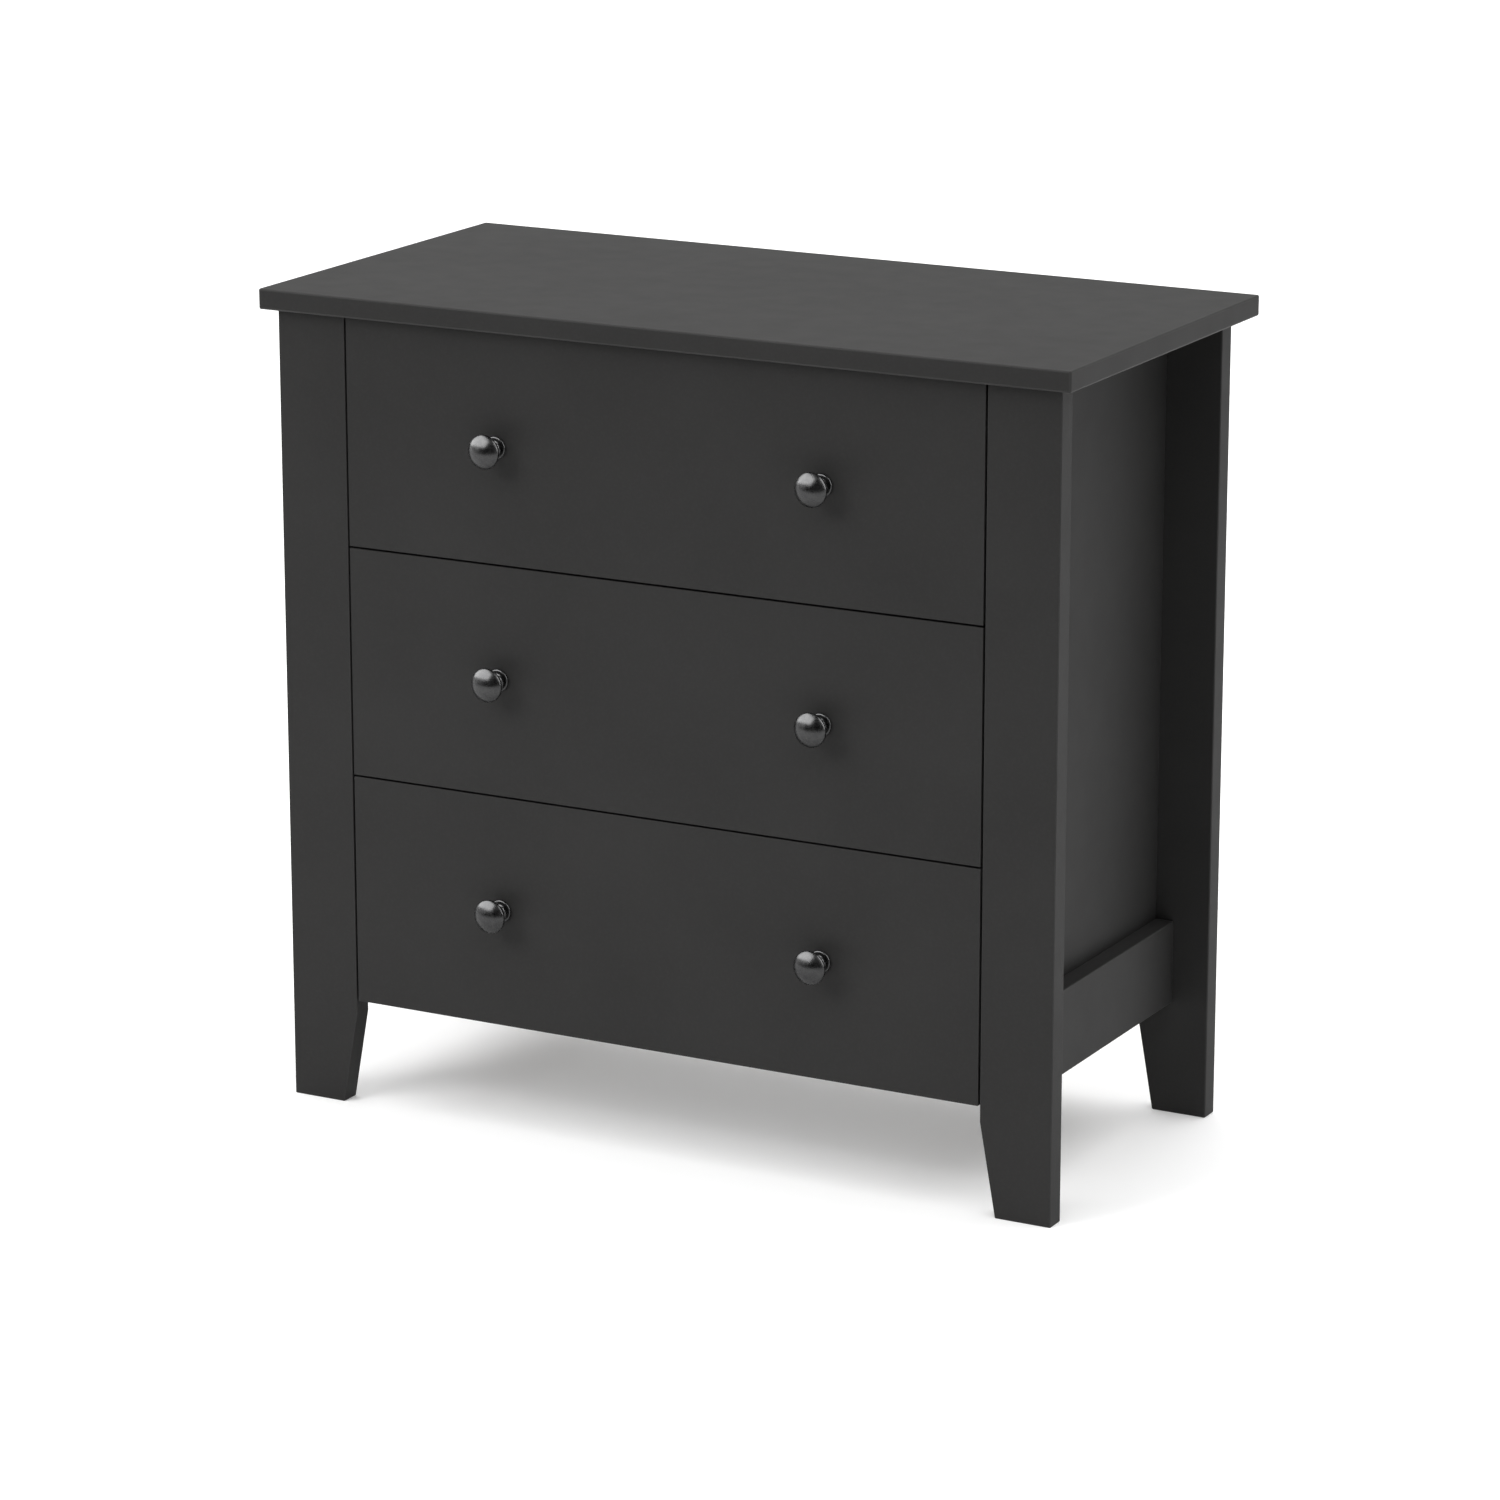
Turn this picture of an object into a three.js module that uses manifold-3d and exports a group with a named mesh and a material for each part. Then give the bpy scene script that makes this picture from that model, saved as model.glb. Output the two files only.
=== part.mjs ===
// A painted chest of three inset drawers on four flat, tapered legs.
// Millimetres, +X to the right, +Y to the back, +Z up. The origin is on the floor, under the
// middle of the whole piece, knobs included.

import * as THREE from 'three';
import { mergeVertices } from 'three/addons/utils/BufferGeometryUtils.js';
import Module from 'manifold-3d';

const wasm = await Module();
wasm.setup();

// ---------------------------------------------------------------- driving dimensions

// Whole piece and top.
const HEIGHT = 758;
const TOP_WIDTH = 800;
const TOP_DEPTH = 395;
const TOP_THICK = 19;
const SIDE_OVERHANG = 13;
const FRONT_OVERHANG = 12;

// Legs: flat boards that face front and back. The inner edge tapers to the foot.
const CARCASS_DEPTH = 352;
const LEG_WIDTH = 69;
const LEG_THICK = 20;
const FOOT_WIDTH = 53.5;
const TAPER_HEIGHT = 86;

// Sides: a panel between the legs, with a rail along its lower edge on the outside.
const PANEL_THICK = 16;
const SIDE_RAIL_THICK = 18;
const SIDE_RAIL_HEIGHT = 78;
const SIDE_LOWER_EDGE = 106;

// Rails between the two sides.
const TOP_RAIL_THICK = 18;
const TOP_RAIL_DEPTH = 60;
const RAIL_SETBACK = 2;
const BOTTOM_RAIL_THICK = 18;
const BOTTOM_RAIL_LIFT = 2;
const BOTTOM_RAIL_HEIGHT = 30;
const REAR_RAIL_THICK = 16;
const REAR_RAIL_HEIGHT = 60;

// Back panel, in a rebate in the rear legs.
const BACK_THICK = 3;
const REBATE_WIDTH = 10;
const REBATE_DEPTH = 4;
const BACK_CLEARANCE = 0.5;

// Drawers, from the lowest up: the fronts are inset, flush with the front legs, and each front is
// a little lower than the one below it.
const DRAWERS = ['bottom', 'middle', 'top'];
const FRONT_GAP = 2;
const LOWEST_FRONT_HEIGHT = 214;
const FRONT_HEIGHT_STEP = 3;
const FRONT_THICK = 18;
const BOX_LENGTH = 300;
const BOX_HEIGHT = 150;
const BOX_LIFT = 36;
const BOX_WALL = 12;
const BOTTOM_THICK = 3;
const GROOVE_HEIGHT = 3.4;
const GROOVE_DEPTH = 5;
const GROOVE_LIFT = 10;
const BOTTOM_CLEARANCE = 0.5;

// Ball-bearing slides: three nested rolled steel channels fill the space beside each drawer box.
const SLIDE_SPACE = 13;
const SLIDE_LENGTH = 300;
const SLIDE_STEEL = 1.2;
const SLIDE_SETBACK = 2;
const SLIDE_HOLE_RADIUS = 2.2;
const SLIDE_HOLE_INSET = 35;
// Each member: its length, half height, how far its web and its flange tips stand off the side panel,
// and the height at which the lip along each flange tip ends.
const CABINET_MEMBER = { length: 300, half: 22.5, web: 0, tip: 9.5, lip: 19.9 };
const MIDDLE_MEMBER = { length: 290, half: 17.5, web: 2.2, tip: 10.5, lip: 18.7 };
const DRAWER_MEMBER = { length: 296, half: 13, web: 11.8, tip: 4, lip: 14.2 };

// Knobs, a little above the middle of each front, and the screw that holds each one.
const KNOB_SPACING = 324;
const KNOB_RISE = 1.5;
const KNOB_REACH = 29;
const KNOB_HEAD_RADIUS = 15.5;
const KNOB_DOME_HEIGHT = 7;
const KNOB_RIM_HEIGHT = 3;
const KNOB_RIM_TAPER = 1;
const KNOB_UNDERSIDE_HEIGHT = 5;
const KNOB_NECK_RADIUS = 5;
const KNOB_BASE_RADIUS = 10.5;
const KNOB_BASE_HEIGHT = 3;
const KNOB_FOOT_HEIGHT = 2;
const KNOB_BORE_RADIUS = 2.2;
const KNOB_BORE_DEPTH = 9;
const SCREW_RADIUS = 2;
const SCREW_HEAD_RADIUS = 4;
const SCREW_HEAD_HEIGHT = 2.4;
const SCREW_HEAD_CHAMFER = 1;
const SCREW_REACH_INTO_KNOB = 7;
const SCREW_HOLE_RADIUS = 2.5;

// How far a drill that cuts a hole stands out of the board or sheet at each end.
const DRILL_OVERRUN = 1;

const ROUND_STEPS = 12;
const KNOB_STEPS = 24;
const DOME_STEPS = 4;

// ---------------------------------------------------------------- derived places

const SIDES = [['left', -1], ['right', 1]];

const REAR = (TOP_DEPTH + KNOB_REACH - FRONT_OVERHANG) / 2;
const TOP_FRONT = REAR - TOP_DEPTH;
const FACE = TOP_FRONT + FRONT_OVERHANG;
const FRONT_LEG_BACK = FACE + LEG_THICK;
const CARCASS_BACK = FACE + CARCASS_DEPTH;
const REAR_LEG_FRONT = CARCASS_BACK - LEG_THICK;
const TOP_UNDERSIDE = HEIGHT - TOP_THICK;
const LEG_OUTER = TOP_WIDTH / 2 - SIDE_OVERHANG;
const LEG_INNER = LEG_OUTER - LEG_WIDTH;
const BACK_FACE = CARCASS_BACK - REBATE_DEPTH;

const FRONT_HALF = LEG_INNER - FRONT_GAP;
const FRONT_HEIGHTS = DRAWERS.map((name, index) => LOWEST_FRONT_HEIGHT - index * FRONT_HEIGHT_STEP);
const LOWEST_FRONT = FRONT_HEIGHTS.reduce((low, height) => low - height - FRONT_GAP, TOP_UNDERSIDE);
const FRONT_BACK = FACE + FRONT_THICK;
const BOX_HALF = LEG_INNER - SLIDE_SPACE;
const BOX_BACK = FRONT_BACK + BOX_LENGTH;
const KNOB_X = KNOB_SPACING / 2;
const SLIDE_FRONT = FRONT_LEG_BACK + SLIDE_SETBACK;
const SLIDE_HEIGHT = BOX_LIFT + BOX_HEIGHT / 2;

// ---------------------------------------------------------------- finishes

const FINISHES = {
  paint: { color: 0x3a3a3a, roughness: 0.5, metalness: 0 },
  plywood: { color: 0xd8b98a, roughness: 0.45, metalness: 0 },
  foilBoard: { color: 0xb8b8b5, roughness: 0.5, metalness: 0 },
  hardboard: { color: 0x8a6a48, roughness: 0.75, metalness: 0 },
  slideSteel: { color: 0xb9bcc0, roughness: 0.32, metalness: 1 },
  knobMetal: { color: 0x36363a, roughness: 0.25, metalness: 1 },
  screwSteel: { color: 0xc4c4c2, roughness: 0.35, metalness: 1 },
};

function mesh(name, finish, geometry) {
  const part = new THREE.Mesh(geometry, new THREE.MeshStandardMaterial(FINISHES[finish]));
  part.name = name;
  return part;
}

// ---------------------------------------------------------------- solids

// A board given by its two limits along each axis.
function board(name, finish, [x0, x1], [y0, y1], [z0, z1]) {
  const part = mesh(name, finish, new THREE.BoxGeometry(x1 - x0, y1 - y0, z1 - z0));
  part.position.set((x0 + x1) / 2, (y0 + y1) / 2, (z0 + z1) / 2);
  return part;
}

// The two limits of a board on one side: near and far are distances from the middle of the piece.
function span(sign, near, far) {
  return sign > 0 ? [near, far] : [-far, -near];
}

function toSolid(geometry) {
  const bare = geometry.clone();
  bare.deleteAttribute('normal');
  bare.deleteAttribute('uv');
  const merged = mergeVertices(bare);
  const vertProperties = new Float32Array(merged.attributes.position.array);
  const triVerts = new Uint32Array(merged.index.array);
  return new wasm.Manifold(new wasm.Mesh({ numProp: 3, vertProperties, triVerts }));
}

function toGeometry(solid) {
  const { vertProperties, triVerts } = solid.getMesh();
  const geometry = new THREE.BufferGeometry();
  geometry.setAttribute('position', new THREE.BufferAttribute(vertProperties, 3));
  geometry.setIndex(new THREE.BufferAttribute(triVerts, 1));
  geometry.computeVertexNormals();
  return geometry;
}

function cut(geometry, tools) {
  const solid = tools.reduce((left, tool) => left.subtract(toSolid(tool)), toSolid(geometry));
  return toGeometry(solid);
}

// A box for cutting, given by its two limits along each axis.
function block([x0, x1], [y0, y1], [z0, z1]) {
  const box = new THREE.BoxGeometry(x1 - x0, y1 - y0, z1 - z0);
  return box.translate((x0 + x1) / 2, (y0 + y1) / 2, (z0 + z1) / 2);
}

// A prism whose outline lies in the XZ plane, from y0 to y1.
function prism(outline, y0, y1) {
  const shape = new THREE.Shape(outline.map(([x, z]) => new THREE.Vector2(x, z)));
  const solid = new THREE.ExtrudeGeometry(shape, { depth: y1 - y0, bevelEnabled: false });
  return solid.rotateX(Math.PI / 2).translate(0, y1, 0);
}

// A solid of revolution about Y. Each profile point is [radius, distance towards the front].
function turned(profile, steps) {
  const points = profile.map(([radius, reach]) => new THREE.Vector2(radius, reach));
  return new THREE.LatheGeometry(points, steps).rotateX(Math.PI);
}

// A cylinder about Y that cuts a hole through a given thickness.
function drillBit(radius, thickness) {
  return new THREE.CylinderGeometry(radius, radius, thickness + 2 * DRILL_OVERRUN, ROUND_STEPS);
}

// ---------------------------------------------------------------- carcass

function leg(name, sign, [y0, y1], rebated) {
  const outline = [
    [LEG_OUTER, 0],
    [LEG_OUTER, TOP_UNDERSIDE],
    [LEG_INNER, TOP_UNDERSIDE],
    [LEG_INNER, TAPER_HEIGHT],
    [LEG_OUTER - FOOT_WIDTH, 0],
  ];
  const body = prism(outline.map(([x, z]) => [sign * x, z]), y0, y1);
  if (!rebated) return mesh(name, 'paint', body);
  const across = span(sign, LEG_INNER - REBATE_WIDTH, LEG_INNER + REBATE_WIDTH);
  const rebate = block(across, [BACK_FACE, y1 + REBATE_DEPTH], [LOWEST_FRONT, HEIGHT]);
  return mesh(name, 'paint', cut(body, [rebate]));
}

function sideParts(side, sign) {
  const between = [FRONT_LEG_BACK, REAR_LEG_FRONT];
  const panelOuter = LEG_INNER + PANEL_THICK;
  const panel = span(sign, LEG_INNER, panelOuter);
  const rail = span(sign, panelOuter, panelOuter + SIDE_RAIL_THICK);
  const railTop = SIDE_LOWER_EDGE + SIDE_RAIL_HEIGHT;
  return [
    leg(`front_leg_${side}`, sign, [FACE, FRONT_LEG_BACK], false),
    leg(`rear_leg_${side}`, sign, [REAR_LEG_FRONT, CARCASS_BACK], true),
    board(`side_panel_${side}`, 'paint', panel, between, [SIDE_LOWER_EDGE, TOP_UNDERSIDE]),
    board(`side_rail_${side}`, 'paint', rail, between, [SIDE_LOWER_EDGE, railTop]),
  ];
}

function crossParts() {
  const across = [-LEG_INNER, LEG_INNER];
  const railFront = FRONT_LEG_BACK + RAIL_SETBACK;
  const bottomRail = LOWEST_FRONT + BOTTOM_RAIL_LIFT;
  const rearRail = [BACK_FACE - REAR_RAIL_THICK, BACK_FACE];
  const backHalf = LEG_INNER + REBATE_WIDTH - BACK_CLEARANCE;
  return [
    board('top_rail_front', 'paint', across,
      [railFront, railFront + TOP_RAIL_DEPTH], [TOP_UNDERSIDE - TOP_RAIL_THICK, TOP_UNDERSIDE]),
    board('bottom_rail_front', 'paint', across,
      [railFront, railFront + BOTTOM_RAIL_THICK], [bottomRail, bottomRail + BOTTOM_RAIL_HEIGHT]),
    board('top_rail_rear', 'paint', across, rearRail, [TOP_UNDERSIDE - REAR_RAIL_HEIGHT, TOP_UNDERSIDE]),
    board('bottom_rail_rear', 'paint', across, rearRail, [LOWEST_FRONT, LOWEST_FRONT + REAR_RAIL_HEIGHT]),
    board('back_panel', 'hardboard', [-backHalf, backHalf],
      [BACK_FACE, BACK_FACE + BACK_THICK], [LOWEST_FRONT + BACK_CLEARANCE, TOP_UNDERSIDE]),
  ];
}

// ---------------------------------------------------------------- drawer slides

// The upper half of a channel's section, from the back of its web round the flange to the inside of
// its web: the lip at the flange tip turns inwards where it ends below the flange, or else outwards.
function slideSection({ half, web, tip, lip }) {
  const inward = Math.sign(tip - web);
  const webBack = inward > 0 ? web : web + SLIDE_STEEL;
  const webInside = webBack + inward * SLIDE_STEEL;
  const lipBack = tip - inward * SLIDE_STEEL;
  const inner = half - SLIDE_STEEL;
  const turnsIn = lip < half;
  const lipPoints = turnsIn
    ? [[tip, half], [tip, lip], [lipBack, lip], [lipBack, inner]]
    : [[lipBack, half], [lipBack, lip], [tip, lip], [tip, inner]];
  return [[webBack, half], ...lipPoints, [webInside, inner]];
}

// One steel channel: a web with a lipped flange along each long edge, and two screw holes.
function slideMember(name, sign, member) {
  const upper = slideSection(member);
  const lower = upper.map(([offset, z]) => [offset, -z]).reverse();
  const webBack = upper[0][0];
  const webInside = lower[0][0];
  const { length } = member;
  const placed = [...upper, ...lower].map(([offset, z]) => [sign * (LEG_INNER - offset), z]);
  const channel = prism(placed, SLIDE_FRONT, SLIDE_FRONT + length);
  const holes = [SLIDE_HOLE_INSET, length - SLIDE_HOLE_INSET].map((along) => {
    const drill = drillBit(SLIDE_HOLE_RADIUS, SLIDE_STEEL);
    const across = sign * (LEG_INNER - (webBack + webInside) / 2);
    return drill.rotateZ(Math.PI / 2).translate(across, SLIDE_FRONT + along, 0);
  });
  const part = mesh(name, 'slideSteel', cut(channel, holes));
  part.position.z = SLIDE_HEIGHT;
  return part;
}

function slide(drawer, side, sign) {
  return [
    slideMember(`${drawer}_slide_cabinet_${side}`, sign, CABINET_MEMBER),
    slideMember(`${drawer}_slide_middle_${side}`, sign, MIDDLE_MEMBER),
    slideMember(`${drawer}_slide_drawer_${side}`, sign, DRAWER_MEMBER),
  ];
}

// ---------------------------------------------------------------- drawers
// Heights within a drawer are from the lower edge of its front.

function knobHeight(frontHeight) {
  return frontHeight / 2 + KNOB_RISE;
}

function drawerFront(name, height) {
  const body = block([-FRONT_HALF, FRONT_HALF], [FACE, FRONT_BACK], [0, height]);
  const grooveLow = BOX_LIFT + GROOVE_LIFT;
  const grooveHalf = BOX_HALF - BOX_WALL + GROOVE_DEPTH;
  const groove = block(
    [-grooveHalf, grooveHalf], [FRONT_BACK - GROOVE_DEPTH, FRONT_BACK + GROOVE_DEPTH],
    [grooveLow, grooveLow + GROOVE_HEIGHT]);
  const screwHoles = SIDES.map(([, sign]) => {
    const drill = drillBit(SCREW_HOLE_RADIUS, FRONT_THICK);
    return drill.translate(sign * KNOB_X, FACE + FRONT_THICK / 2, knobHeight(height));
  });
  return mesh(name, 'paint', cut(body, [groove, ...screwHoles]));
}

function drawerSide(name, sign) {
  const inner = BOX_HALF - BOX_WALL;
  const low = BOX_LIFT;
  const high = BOX_LIFT + BOX_HEIGHT;
  const grooveLow = low + GROOVE_LIFT;
  const outline = [
    [BOX_HALF, low],
    [BOX_HALF, high],
    [inner, high],
    [inner, grooveLow + GROOVE_HEIGHT],
    [inner + GROOVE_DEPTH, grooveLow + GROOVE_HEIGHT],
    [inner + GROOVE_DEPTH, grooveLow],
    [inner, grooveLow],
    [inner, low],
  ];
  const placed = outline.map(([x, z]) => [sign * x, z]);
  return mesh(name, 'plywood', prism(placed, FRONT_BACK, BOX_BACK));
}

// The back stands on the bottom panel, which runs under it to the rear end of the box.
function drawerBackAndBottom(drawer) {
  const inner = BOX_HALF - BOX_WALL;
  const grooveLow = BOX_LIFT + GROOVE_LIFT;
  const panelLow = grooveLow + (GROOVE_HEIGHT - BOTTOM_THICK) / 2;
  const panelHalf = inner + GROOVE_DEPTH - BOTTOM_CLEARANCE;
  const panelFront = FRONT_BACK - GROOVE_DEPTH + BOTTOM_CLEARANCE;
  return [
    board(`${drawer}_drawer_back`, 'plywood', [-inner, inner],
      [BOX_BACK - BOX_WALL, BOX_BACK], [grooveLow + GROOVE_HEIGHT, BOX_LIFT + BOX_HEIGHT]),
    board(`${drawer}_drawer_bottom`, 'foilBoard', [-panelHalf, panelHalf],
      [panelFront, BOX_BACK], [panelLow, panelLow + BOTTOM_THICK]),
  ];
}

// A mushroom knob on a small round base, with a blind hole for its screw.
function knobProfile() {
  const rim = KNOB_REACH - KNOB_DOME_HEIGHT;
  const dome = Array.from({ length: DOME_STEPS + 1 }, (_, step) => {
    const angle = (step / DOME_STEPS) * (Math.PI / 2);
    return [KNOB_HEAD_RADIUS * Math.cos(angle), rim + KNOB_DOME_HEIGHT * Math.sin(angle)];
  });
  dome[DOME_STEPS][0] = 0;
  const underRim = rim - KNOB_RIM_HEIGHT;
  return [
    [0, KNOB_BORE_DEPTH],
    [KNOB_BORE_RADIUS, KNOB_BORE_DEPTH],
    [KNOB_BORE_RADIUS, 0],
    [KNOB_BASE_RADIUS, 0],
    [KNOB_BASE_RADIUS, KNOB_BASE_HEIGHT],
    [KNOB_NECK_RADIUS, KNOB_BASE_HEIGHT + KNOB_FOOT_HEIGHT],
    [KNOB_NECK_RADIUS, underRim - KNOB_UNDERSIDE_HEIGHT],
    [KNOB_HEAD_RADIUS - KNOB_RIM_TAPER, underRim],
    ...dome,
  ];
}

function screwProfile() {
  return [
    [0, -SCREW_HEAD_HEIGHT],
    [SCREW_HEAD_RADIUS - SCREW_HEAD_CHAMFER, -SCREW_HEAD_HEIGHT],
    [SCREW_HEAD_RADIUS, SCREW_HEAD_CHAMFER - SCREW_HEAD_HEIGHT],
    [SCREW_HEAD_RADIUS, 0],
    [SCREW_RADIUS, 0],
    [SCREW_RADIUS, FRONT_THICK + SCREW_REACH_INTO_KNOB],
    [0, FRONT_THICK + SCREW_REACH_INTO_KNOB],
  ];
}

function knobParts(drawer, side, sign, height) {
  const knob = mesh(`${drawer}_knob_${side}`, 'knobMetal', turned(knobProfile(), KNOB_STEPS));
  knob.position.set(sign * KNOB_X, FACE, knobHeight(height));
  const screw = mesh(
    `${drawer}_knob_screw_${side}`, 'screwSteel', turned(screwProfile(), ROUND_STEPS));
  screw.position.set(sign * KNOB_X, FRONT_BACK, knobHeight(height));
  return [knob, screw];
}

function drawer(name, height) {
  const group = new THREE.Group();
  group.add(drawerFront(`${name}_drawer_front`, height));
  group.add(...drawerBackAndBottom(name));
  for (const [side, sign] of SIDES) {
    group.add(drawerSide(`${name}_drawer_side_${side}`, sign));
    group.add(...knobParts(name, side, sign, height));
    group.add(...slide(name, side, sign));
  }
  return group;
}

// ---------------------------------------------------------------- the whole piece

const chest = new THREE.Group();
chest.name = 'three_drawer_chest';
chest.add(board('top_panel', 'paint',
  [-TOP_WIDTH / 2, TOP_WIDTH / 2], [TOP_FRONT, REAR], [TOP_UNDERSIDE, HEIGHT]));
for (const [side, sign] of SIDES) {
  chest.add(...sideParts(side, sign));
}
chest.add(...crossParts());
let frontLow = LOWEST_FRONT;
DRAWERS.forEach((name, index) => {
  const group = drawer(name, FRONT_HEIGHTS[index]);
  group.position.z = frontLow;
  frontLow += FRONT_HEIGHTS[index] + FRONT_GAP;
  chest.add(group);
});

export default chest;
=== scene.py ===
"""The looks of a painted chest of three drawers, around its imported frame. Metres throughout."""

import math

import bpy
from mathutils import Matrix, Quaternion, Vector


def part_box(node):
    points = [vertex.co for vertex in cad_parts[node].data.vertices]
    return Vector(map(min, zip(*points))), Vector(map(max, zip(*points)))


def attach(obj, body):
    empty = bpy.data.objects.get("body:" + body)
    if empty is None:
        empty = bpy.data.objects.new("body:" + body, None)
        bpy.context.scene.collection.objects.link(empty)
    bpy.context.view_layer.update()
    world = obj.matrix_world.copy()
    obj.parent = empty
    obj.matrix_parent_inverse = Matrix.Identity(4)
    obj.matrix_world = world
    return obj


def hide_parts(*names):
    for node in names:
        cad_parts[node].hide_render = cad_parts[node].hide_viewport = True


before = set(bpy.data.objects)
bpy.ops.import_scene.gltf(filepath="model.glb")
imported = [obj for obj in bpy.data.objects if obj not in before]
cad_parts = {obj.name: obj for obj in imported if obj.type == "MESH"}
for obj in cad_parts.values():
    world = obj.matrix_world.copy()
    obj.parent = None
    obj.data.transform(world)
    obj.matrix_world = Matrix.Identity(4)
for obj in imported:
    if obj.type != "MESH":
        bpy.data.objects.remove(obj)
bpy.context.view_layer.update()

MM = 0.001
X, Y, Z = range(3)
DRAWERS = ("top", "middle", "bottom")
SIDES = {"left": -1, "right": 1}

# ------------------------------------------------------------------ node trees


class Tree:
    """A short way to write a material's nodes."""

    def __init__(self, name):
        self.material = bpy.data.materials.new(name)
        self.material.use_nodes = True
        self.nodes = self.material.node_tree.nodes
        self.links = self.material.node_tree.links
        self.shader = self.nodes["Principled BSDF"]
        self.coords = self.nodes.new("ShaderNodeTexCoord")

    def plug(self, source, socket):
        """Links a socket to a socket, or sets a value on it."""
        if isinstance(source, bpy.types.NodeSocket):
            self.links.new(source, socket)
        else:
            socket.default_value = source

    def add(self, kind, inputs=None, **settings):
        """A new node of a kind, with its inputs plugged and its settings made."""
        node = self.nodes.new(kind)
        for key, value in settings.items():
            setattr(node, key, value)
        for key, value in (inputs or {}).items():
            self.plug(value, node.inputs[key])
        return node

    def separate(self, coordinates):
        """The three numbers of one of the texture coordinates."""
        node = self.add("ShaderNodeSeparateXYZ", {"Vector": self.coords.outputs[coordinates]})
        return node.outputs

    def noise(self, scale, detail=3.0, rough=0.5, distortion=0.0):
        """Noise of 0 to 1. Its scale is in cycles per metre, one for all axes or one for each."""
        scales = scale if hasattr(scale, "__len__") else (scale, scale, scale)
        mapping = {"Vector": self.coords.outputs["Object"], "Scale": scales}
        inputs = {
            "Vector": self.add("ShaderNodeMapping", mapping).outputs["Vector"],
            "Scale": 1.0,
            "Detail": detail,
            "Roughness": rough,
            "Distortion": distortion,
        }
        return self.add("ShaderNodeTexNoise", inputs).outputs["Fac"]

    def math(self, operation, first, second=0.0):
        """The result of one operation on one or two numbers."""
        node = self.add("ShaderNodeMath", operation=operation)
        self.plug(first, node.inputs[0])
        self.plug(second, node.inputs[1])
        return node.outputs[0]

    def between(self, factor, low, high, start=0.0, stop=1.0):
        """Low to high, as a factor goes from start to stop."""
        inputs = {
            "Value": factor,
            "From Min": start,
            "From Max": stop,
            "To Min": low,
            "To Max": high,
        }
        return self.add("ShaderNodeMapRange", inputs).outputs["Result"]

    def mix(self, factor, first, second):
        """The first colour where a factor is 0, the second where it is 1."""
        node = self.add("ShaderNodeMix", data_type="RGBA")
        self.plug(factor, node.inputs["Factor"])
        self.plug(first, node.inputs["A"])
        self.plug(second, node.inputs["B"])
        return node.outputs["Result"]

    def tinted(self, colour, other, factor, start, stop, most=1.0):
        """A colour that another one covers, by 0 to most as a factor goes from start to stop."""
        return self.mix(self.between(factor, 0.0, most, start, stop), colour, other)

    def bump(self, height, depth, below=None):
        """Relief of a given depth in metres for a height of 0 to 1, on top of another one."""
        inputs = {"Height": height, "Distance": depth, "Strength": 1.0}
        if below is not None:
            inputs["Normal"] = below
        return self.add("ShaderNodeBump", inputs).outputs["Normal"]

    def finish(self, **inputs):
        """Plugs the shader's sockets, named with _ for each space, and gives the material."""
        for key, value in inputs.items():
            self.plug(value, self.shader.inputs[key.replace("_", " ")])
        return self.material


def grey(value, warmth=0.0):
    """A linear grey, or one that leans to yellow by a share of its value."""
    return (value * (1 + warmth), value, value * (1 - warmth), 1.0)


def drawn_out(across, along, axis):
    """The scales of a noise whose marks are drawn out along one axis."""
    return [along if each == axis else across for each in (X, Y, Z)]


# ------------------------------------------------------------------ materials

# Colours are linear, noise scales are in cycles per metre, and depths are those of relief.
WARM = 0.015
PAINT_DARK = grey(0.0265, WARM)
PAINT_LIGHT = grey(0.030, WARM)
# The paler grey of the paint's rounded edges: partly wear, partly a painted highlight where the
# edges catch the light.
PAINT_WEAR_AND_HIGHLIGHT = grey(0.038, WARM)
PAINT_SPECK = grey(0.045)
STIPPLE_DEPTH = 0.012 * MM
WAVE_DEPTH = 0.01 * MM

BIRCH_BROWN = (0.60, 0.43, 0.26, 1)
BIRCH_PALE = (0.76, 0.60, 0.41, 1)
BIRCH_PATCH = (0.66, 0.47, 0.29, 1)
BIRCH_PORE = (0.36, 0.23, 0.12, 1)
PLY_PALE = (0.68, 0.51, 0.33, 1)
PLY_BROWN = (0.36, 0.23, 0.13, 1)
PLY_FLECK = (0.30, 0.19, 0.10, 1)
PLY_THICKNESS = 1.33 * MM
GRAIN_DEPTH = 0.06 * MM
LACQUER = 0.12
LACQUER_ROUGHNESS = 0.25

FOIL_DARK = grey(0.40, 0.01)
FOIL_LIGHT = grey(0.53, 0.015)
FOIL_PATCH = grey(0.38, 0.01)
THREAD_DEPTH = 0.03 * MM

FIBRE_BROWN = (0.115, 0.062, 0.030, 1)
FIBRE_PALE = (0.25, 0.150, 0.078, 1)
FIBRE_CLUMP = (0.075, 0.040, 0.021, 1)
FIBRE_PATCH = (0.16, 0.09, 0.045, 1)
FIBRE_DEPTH = 0.08 * MM
SCREEN_PITCH = 1.6 * MM
SCREEN_DEPTH = 0.09 * MM

ZINC = (0.60, 0.61, 0.62, 1)
WARM_ZINC = (0.66, 0.66, 0.63, 1)
DULL_STEEL = (0.30, 0.30, 0.31, 1)
POLISHED_STEEL = (0.72, 0.72, 0.73, 1)
BARE_STEEL = (0.42, 0.41, 0.40, 1)
# The darkest that cloudy plating gets, as a share of its colour.
PLATING_SHADE = 0.72
ROLLING_DEPTH = 0.006 * MM

NICKEL_DARK = (0.044, 0.044, 0.045, 1)
NICKEL_PALE = (0.056, 0.056, 0.056, 1)
BUFFING_DEPTH = 0.0015 * MM

PAPER_TOOTH_DEPTH = 0.02 * MM
PAPER_DARK = grey(0.885)
PAPER_LIGHT = grey(0.90)
# The floor gives off this much light itself, in place of the bounce of a larger studio.
FLOOR_GLOW = 0.178


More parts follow.
